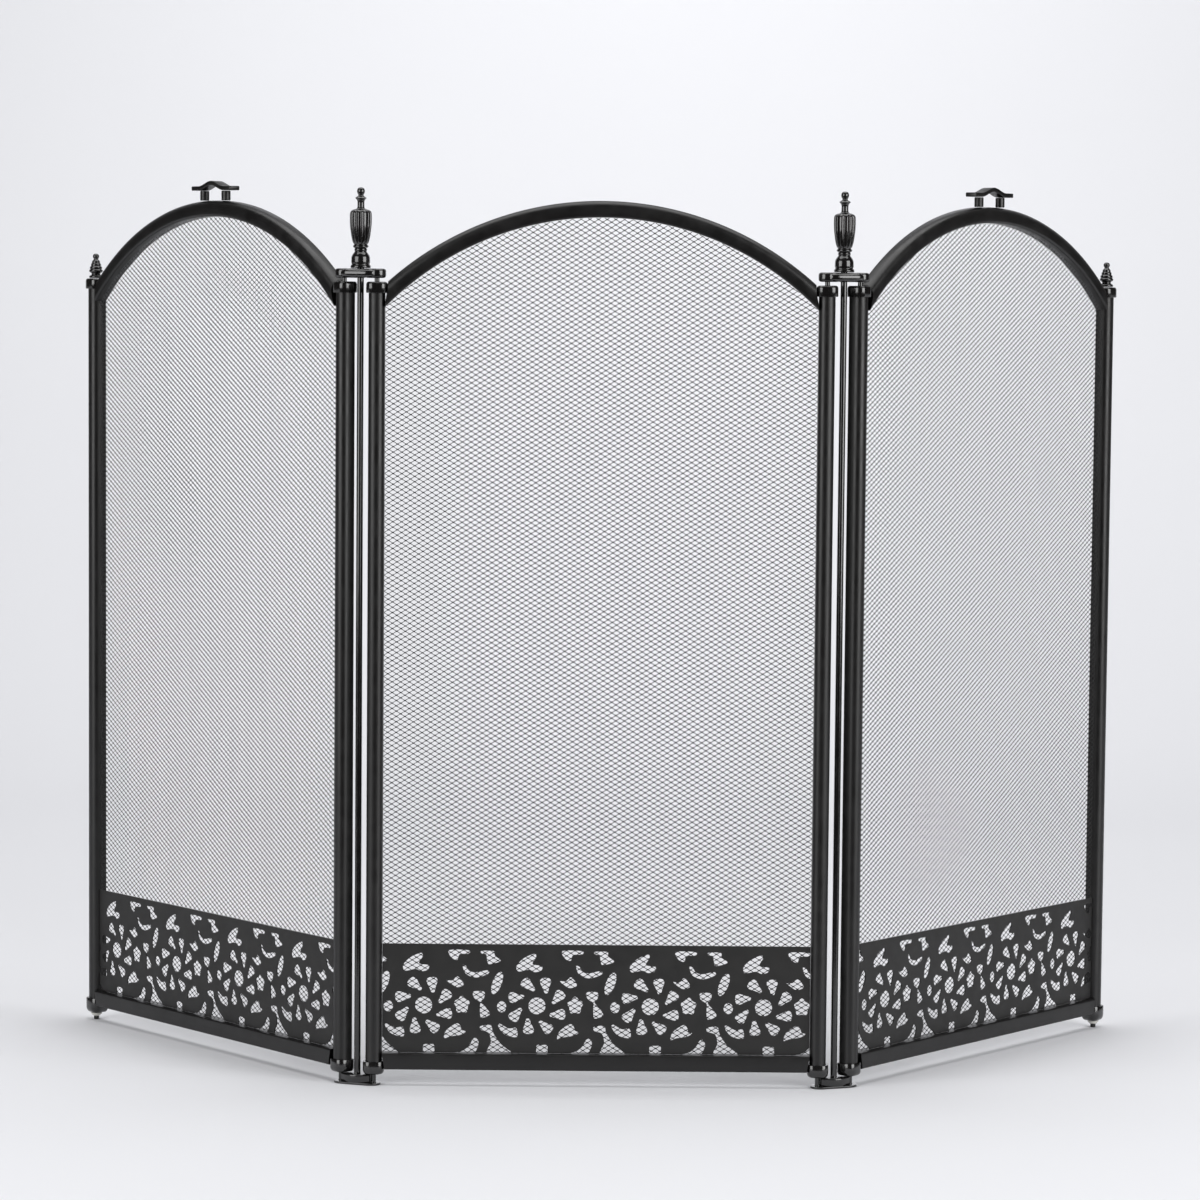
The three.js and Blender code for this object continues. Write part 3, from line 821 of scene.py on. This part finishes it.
def top_link_mesh():
    bottom, top = height_of("left_hinge_top_link")
    holes = pin_holes(bottom - 1, top - 1.5)
    bar = rounded_slab(lambda inset: bar_outline(TOP_LINK_LENGTH, TOP_LINK_WIDTH, inset), bottom, top,
                       edge=2.2)
    cushion = rounded_slab(cushion_outline, bottom + 0.2, top - 0.2, edge=3.4, steps=8)
    return joined(carve(bar, *holes), carve(cushion, *holes))


def hub_outline(inset):
    """The bottom link's hub: a front that bulges in the middle, and a flat back."""
    half = HUB_HALF - inset
    front = []
    for x in np.linspace(-half, half, 17):
        bulge = HUB_BULGE * (1 - math.cos(math.pi * x / 2 / HUB_HALF))
        front.append((x, inset - HUB_FRONT + bulge))
    return front + [(half, HUB_BACK - inset), (-half, HUB_BACK - inset)]


def bottom_link_mesh():
    _, top = height_of("left_hinge_bottom_link")
    flange = rounded_slab(lambda inset: bar_outline(BOTTOM_LINK_LENGTH, BOTTOM_LINK_WIDTH, inset), 0,
                          FLANGE_TOP, edge=0.4)
    hub = rounded_slab(hub_outline, FLANGE_TOP - 0.2, top, edge=1.2)
    rod_hole = turned([(ROD_HOLE_RADIUS, -1), (ROD_HOLE_RADIUS, top + 1)], 24)
    nut_pocket = turned([(NUT_POCKET_RADIUS, -1), (NUT_POCKET_RADIUS, NUT_POCKET_TOP)], 32)
    cutters = [*pin_holes(-1, top + 1), rod_hole, nut_pocket]
    return joined(*(carve(piece, *cutters) for piece in (flange, hub)))


def tie_rod_mesh():
    return turned(TIE_ROD, 32)


def nut_mesh():
    """A hexagon with its corners chamfered at both ends."""
    low, high = 0.4, 2.1
    radius, chamfer = 4.4, 0.3
    return turned([
        (radius - chamfer, low),
        (radius, low + chamfer),
        (radius, high - chamfer),
        (radius - chamfer, high),
    ], 6)


# ---------------------------------------------------------------- handle

STRIP_HALF = 29
STRIP_DEPTH = 11
STRIP_THICKNESS = 3.8
STRIP_MIDDLE = height_of("left_handle_strip")[0] + STRIP_THICKNESS / 2
STRIP_EDGE = 0.7
STRIP_BOW = 4.6
STRIP_BOW_HALF = 19
PILLAR_SPACING = 32.4
PILLAR_RADIUS = 4.0


def handle_strip_mesh():
    """A strip that is flat at both ends and rises in an ogee between them."""
    end = [STRIP_HALF - STRIP_EDGE, STRIP_HALF - 0.25, STRIP_HALF]
    stations = [-x for x in reversed(end)]
    stations += list(np.linspace(-STRIP_BOW_HALF - 2, STRIP_BOW_HALF + 2, 45))
    stations += end
    rings = []
    for x in stations:
        rise = 0
        if abs(x) < STRIP_BOW_HALF:
            rise = STRIP_BOW * (1 + math.cos(math.pi * x / STRIP_BOW_HALF)) / 2
        from_end = min(STRIP_HALF - abs(x), STRIP_EDGE) / STRIP_EDGE
        draw_in = STRIP_EDGE * (1 - math.sqrt(1 - (1 - from_end) ** 2))
        section = rounded_section(STRIP_DEPTH, STRIP_THICKNESS, STRIP_EDGE, STRIP_EDGE, draw_in, steps=3)
        rings.append([(x, px, STRIP_MIDDLE + rise + py) for px, py in section])
    return loft(rings)


def pillar_mesh(x):
    foot, head = height_of("left_handle_pillar_inner")
    chamfer = 0.4
    return turned([
        (PILLAR_RADIUS - chamfer, foot),
        (PILLAR_RADIUS, foot + chamfer),
        (PILLAR_RADIUS, head - chamfer),
        (PILLAR_RADIUS - chamfer, head),
    ], 40, x=x)


# ---------------------------------------------------------------- panels and hinges

# Width and height of one diamond of each panel's mesh.
CELLS = {"centre": (7.3, 4.53), "left": (6.9, 4.4), "right": (6.9, 4.4)}


def build_panel(name, body, posts):
    place = places[name]

    def add(part, suffix, mesh, material):
        add_piece(f"{name}_{part}_{suffix}", mesh, place, body, f"{name}_{part}", material)

    add("arch", "tube", arch_mesh(), FRAME_PAINT)
    add("bottom_rail", "tube", rail_mesh(), FRAME_PAINT)
    add("mesh", "strands", expanded_mesh(*CELLS[name]), MESH_PAINT)
    add("fret", "plate", fret_mesh(ROSETTE_START[name]), FRET_PAINT)
    for label, x, hinged in posts:
        add(f"{label}_post", "tube", post_mesh(f"{name}_{label}_post", x), FRAME_PAINT)
        add(f"{label}_top_cap", "casting", top_cap_mesh(x, hinged), CAST_PAINT)
        add(f"{label}_foot_cap", "casting", foot_cap_mesh(x, hinged), CAST_PAINT)
        if not hinged:
            add("small_finial", "turning", small_finial_mesh(x), CAST_PAINT)
            add("foot_collar", "moulding", collar_mesh(x), NYLON)
            add("foot_tip", "moulding", tip_mesh(x), RUBBER)


def build_wing(name, side):
    build_panel(name, f"{name}_wing", [
        ("inner", -side * HALF_PITCH, True),
        ("outer", side * HALF_PITCH, False),
    ])
    body = f"{name}_wing"
    add_piece(f"{name}_handle_strip_casting", handle_strip_mesh(), places[name], body,
              f"{name}_handle_strip", FRAME_PAINT)
    for label, way in (("inner", -side), ("outer", side)):
        add_piece(f"{name}_handle_pillar_{label}_turning", pillar_mesh(way * PILLAR_SPACING / 2),
                  places[name], body, f"{name}_handle_pillar_{label}", FRAME_PAINT)


def build_hinge(name):
    place = places[f"{name}_hinge"]
    body = f"{name}_link"
    for part, suffix, mesh, material, slot in (
        ("top_link", "casting", top_link_mesh(), CAST_PAINT, "cast_paint"),
        ("bottom_link", "casting", bottom_link_mesh(), CAST_PAINT, "cast_paint"),
        ("tie_rod", "bar", tie_rod_mesh(), CAST_PAINT, "cast_paint"),
        ("finial", "turning", large_finial_mesh(), CAST_PAINT, "cast_paint"),
        ("nut", "hexagon", nut_mesh(), ZINC, "zinc"),
    ):
        node = f"{name}_hinge_{part}"
        add_piece(f"{node}_{suffix}", mesh, place, body, node, material)


build_panel("centre", "centre_panel", [("left", -HALF_PITCH, True), ("right", HALF_PITCH, True)])
build_wing("left", -1)
build_wing("right", 1)
build_hinge("left")
build_hinge("right")


# ---------------------------------------------------------------- studio

def studio_material():
    """Matte paper, with the faintest mottling. It can be looked through from behind."""
    material, tree, shader = new_material("seamless_paper")
    clouds = remap(tree, noise(tree, 0.8, 2), 0, 1)
    colour = mix_colour(tree, clouds, (0.80, 0.806, 0.835), (0.82, 0.827, 0.855))
    tree.links.new(colour, shader.inputs["Base Color"])
    shader.inputs["Roughness"].default_value = 0.9
    shader.inputs["Specular IOR Level"].default_value = 0.1
    geometry = tree.nodes.new("ShaderNodeNewGeometry")
    clear = tree.nodes.new("ShaderNodeBsdfTransparent")
    one_sided = tree.nodes.new("ShaderNodeMixShader")
    tree.links.new(geometry.outputs["Backfacing"], one_sided.inputs[0])
    tree.links.new(shader.outputs["BSDF"], one_sided.inputs[1])
    tree.links.new(clear.outputs["BSDF"], one_sided.inputs[2])
    tree.links.new(one_sided.outputs["Shader"], tree.nodes["Material Output"].inputs["Surface"])
    return material


def build_backdrop():
    """Paper that lies on the floor and sweeps up behind the object."""
    near, far = -0.7, 3.2
    height, half_width = 6.0, 4.0
    radius = 1.6
    profile = [(near, 0.0), (far - radius, 0.0)]
    for degrees in range(6, 91, 6):
        turn = math.radians(degrees)
        profile.append((far - radius + radius * math.sin(turn), radius * (1 - math.cos(turn))))
    profile.append((far, height))
    points = [(x, y, z) for y, z in profile for x in (-half_width, half_width)]
    faces = [(2 * i, 2 * i + 1, 2 * i + 3, 2 * i + 2) for i in range(len(profile) - 1)]
    mesh = bpy.data.meshes.new("backdrop")
    mesh.from_pydata(points, [], faces)
    mesh.shade_smooth()
    mesh.materials.append(studio_material())
    backdrop = bpy.data.objects.new("backdrop", mesh)
    bpy.context.scene.collection.objects.link(backdrop)


def area_light(name, position, aim, width, height, power):
    light = bpy.data.lights.new(name, "AREA")
    light.shape = "RECTANGLE"
    light.size = width
    light.size_y = height
    light.energy = power
    obj = bpy.data.objects.new(name, light)
    obj.location = position
    obj.rotation_euler = (Vector(aim) - Vector(position)).to_track_quat("-Z", "Y").to_euler()
    bpy.context.scene.collection.objects.link(obj)


def build_lights():
    """Two tall softboxes ahead of the object, one above it, one on the backdrop, and a dim warm room."""
    area_light("left_softbox", (-2.7, -2.3, 1.3), (0, 0, 0.5), 2.4, 2.4, 74)
    area_light("right_softbox", (2.7, -2.3, 1.3), (0, 0, 0.5), 2.4, 2.4, 96)
    area_light("overhead_softbox", (0, 0.2, 3.4), (0, 0.1, 0), 4.0, 2.6, 88)
    area_light("backdrop_light", (0.15, 2.1, 2.4), (0.15, 3.2, 1.5), 0.8, 0.4, 10)
    world = bpy.data.worlds.new("studio")
    world.use_nodes = True
    world.node_tree.nodes["Background"].inputs["Color"].default_value = (1.0, 0.94, 0.92, 1)
    world.node_tree.nodes["Background"].inputs["Strength"].default_value = 0.05
    bpy.context.scene.world = world


def build_camera():
    """Eye height, almost square on, with a long lens."""
    camera = bpy.data.cameras.new("camera")
    camera.lens = 124.9
    camera.sensor_width = 36
    obj = bpy.data.objects.new("camera", camera)
    yaw, pitch, roll = (math.radians(a) for a in (0.18, -4.49, 0.5))
    forward = Vector((math.sin(yaw) * math.cos(pitch), math.cos(yaw) * math.cos(pitch), math.sin(pitch)))
    level = Vector((math.cos(yaw), -math.sin(yaw), 0))
    above = level.cross(forward)
    right = level * math.cos(roll) + above * math.sin(roll)
    up = above * math.cos(roll) - level * math.sin(roll)
    turn = Matrix((right, up, -forward)).transposed().to_4x4()
    obj.matrix_world = Matrix.Translation((-0.0107, -3.6646, 0.6923)) @ turn
    bpy.context.scene.collection.objects.link(obj)
    bpy.context.scene.camera = obj


bpy.context.scene.view_settings.view_transform = "Standard"
build_backdrop()
build_lights()
build_camera()
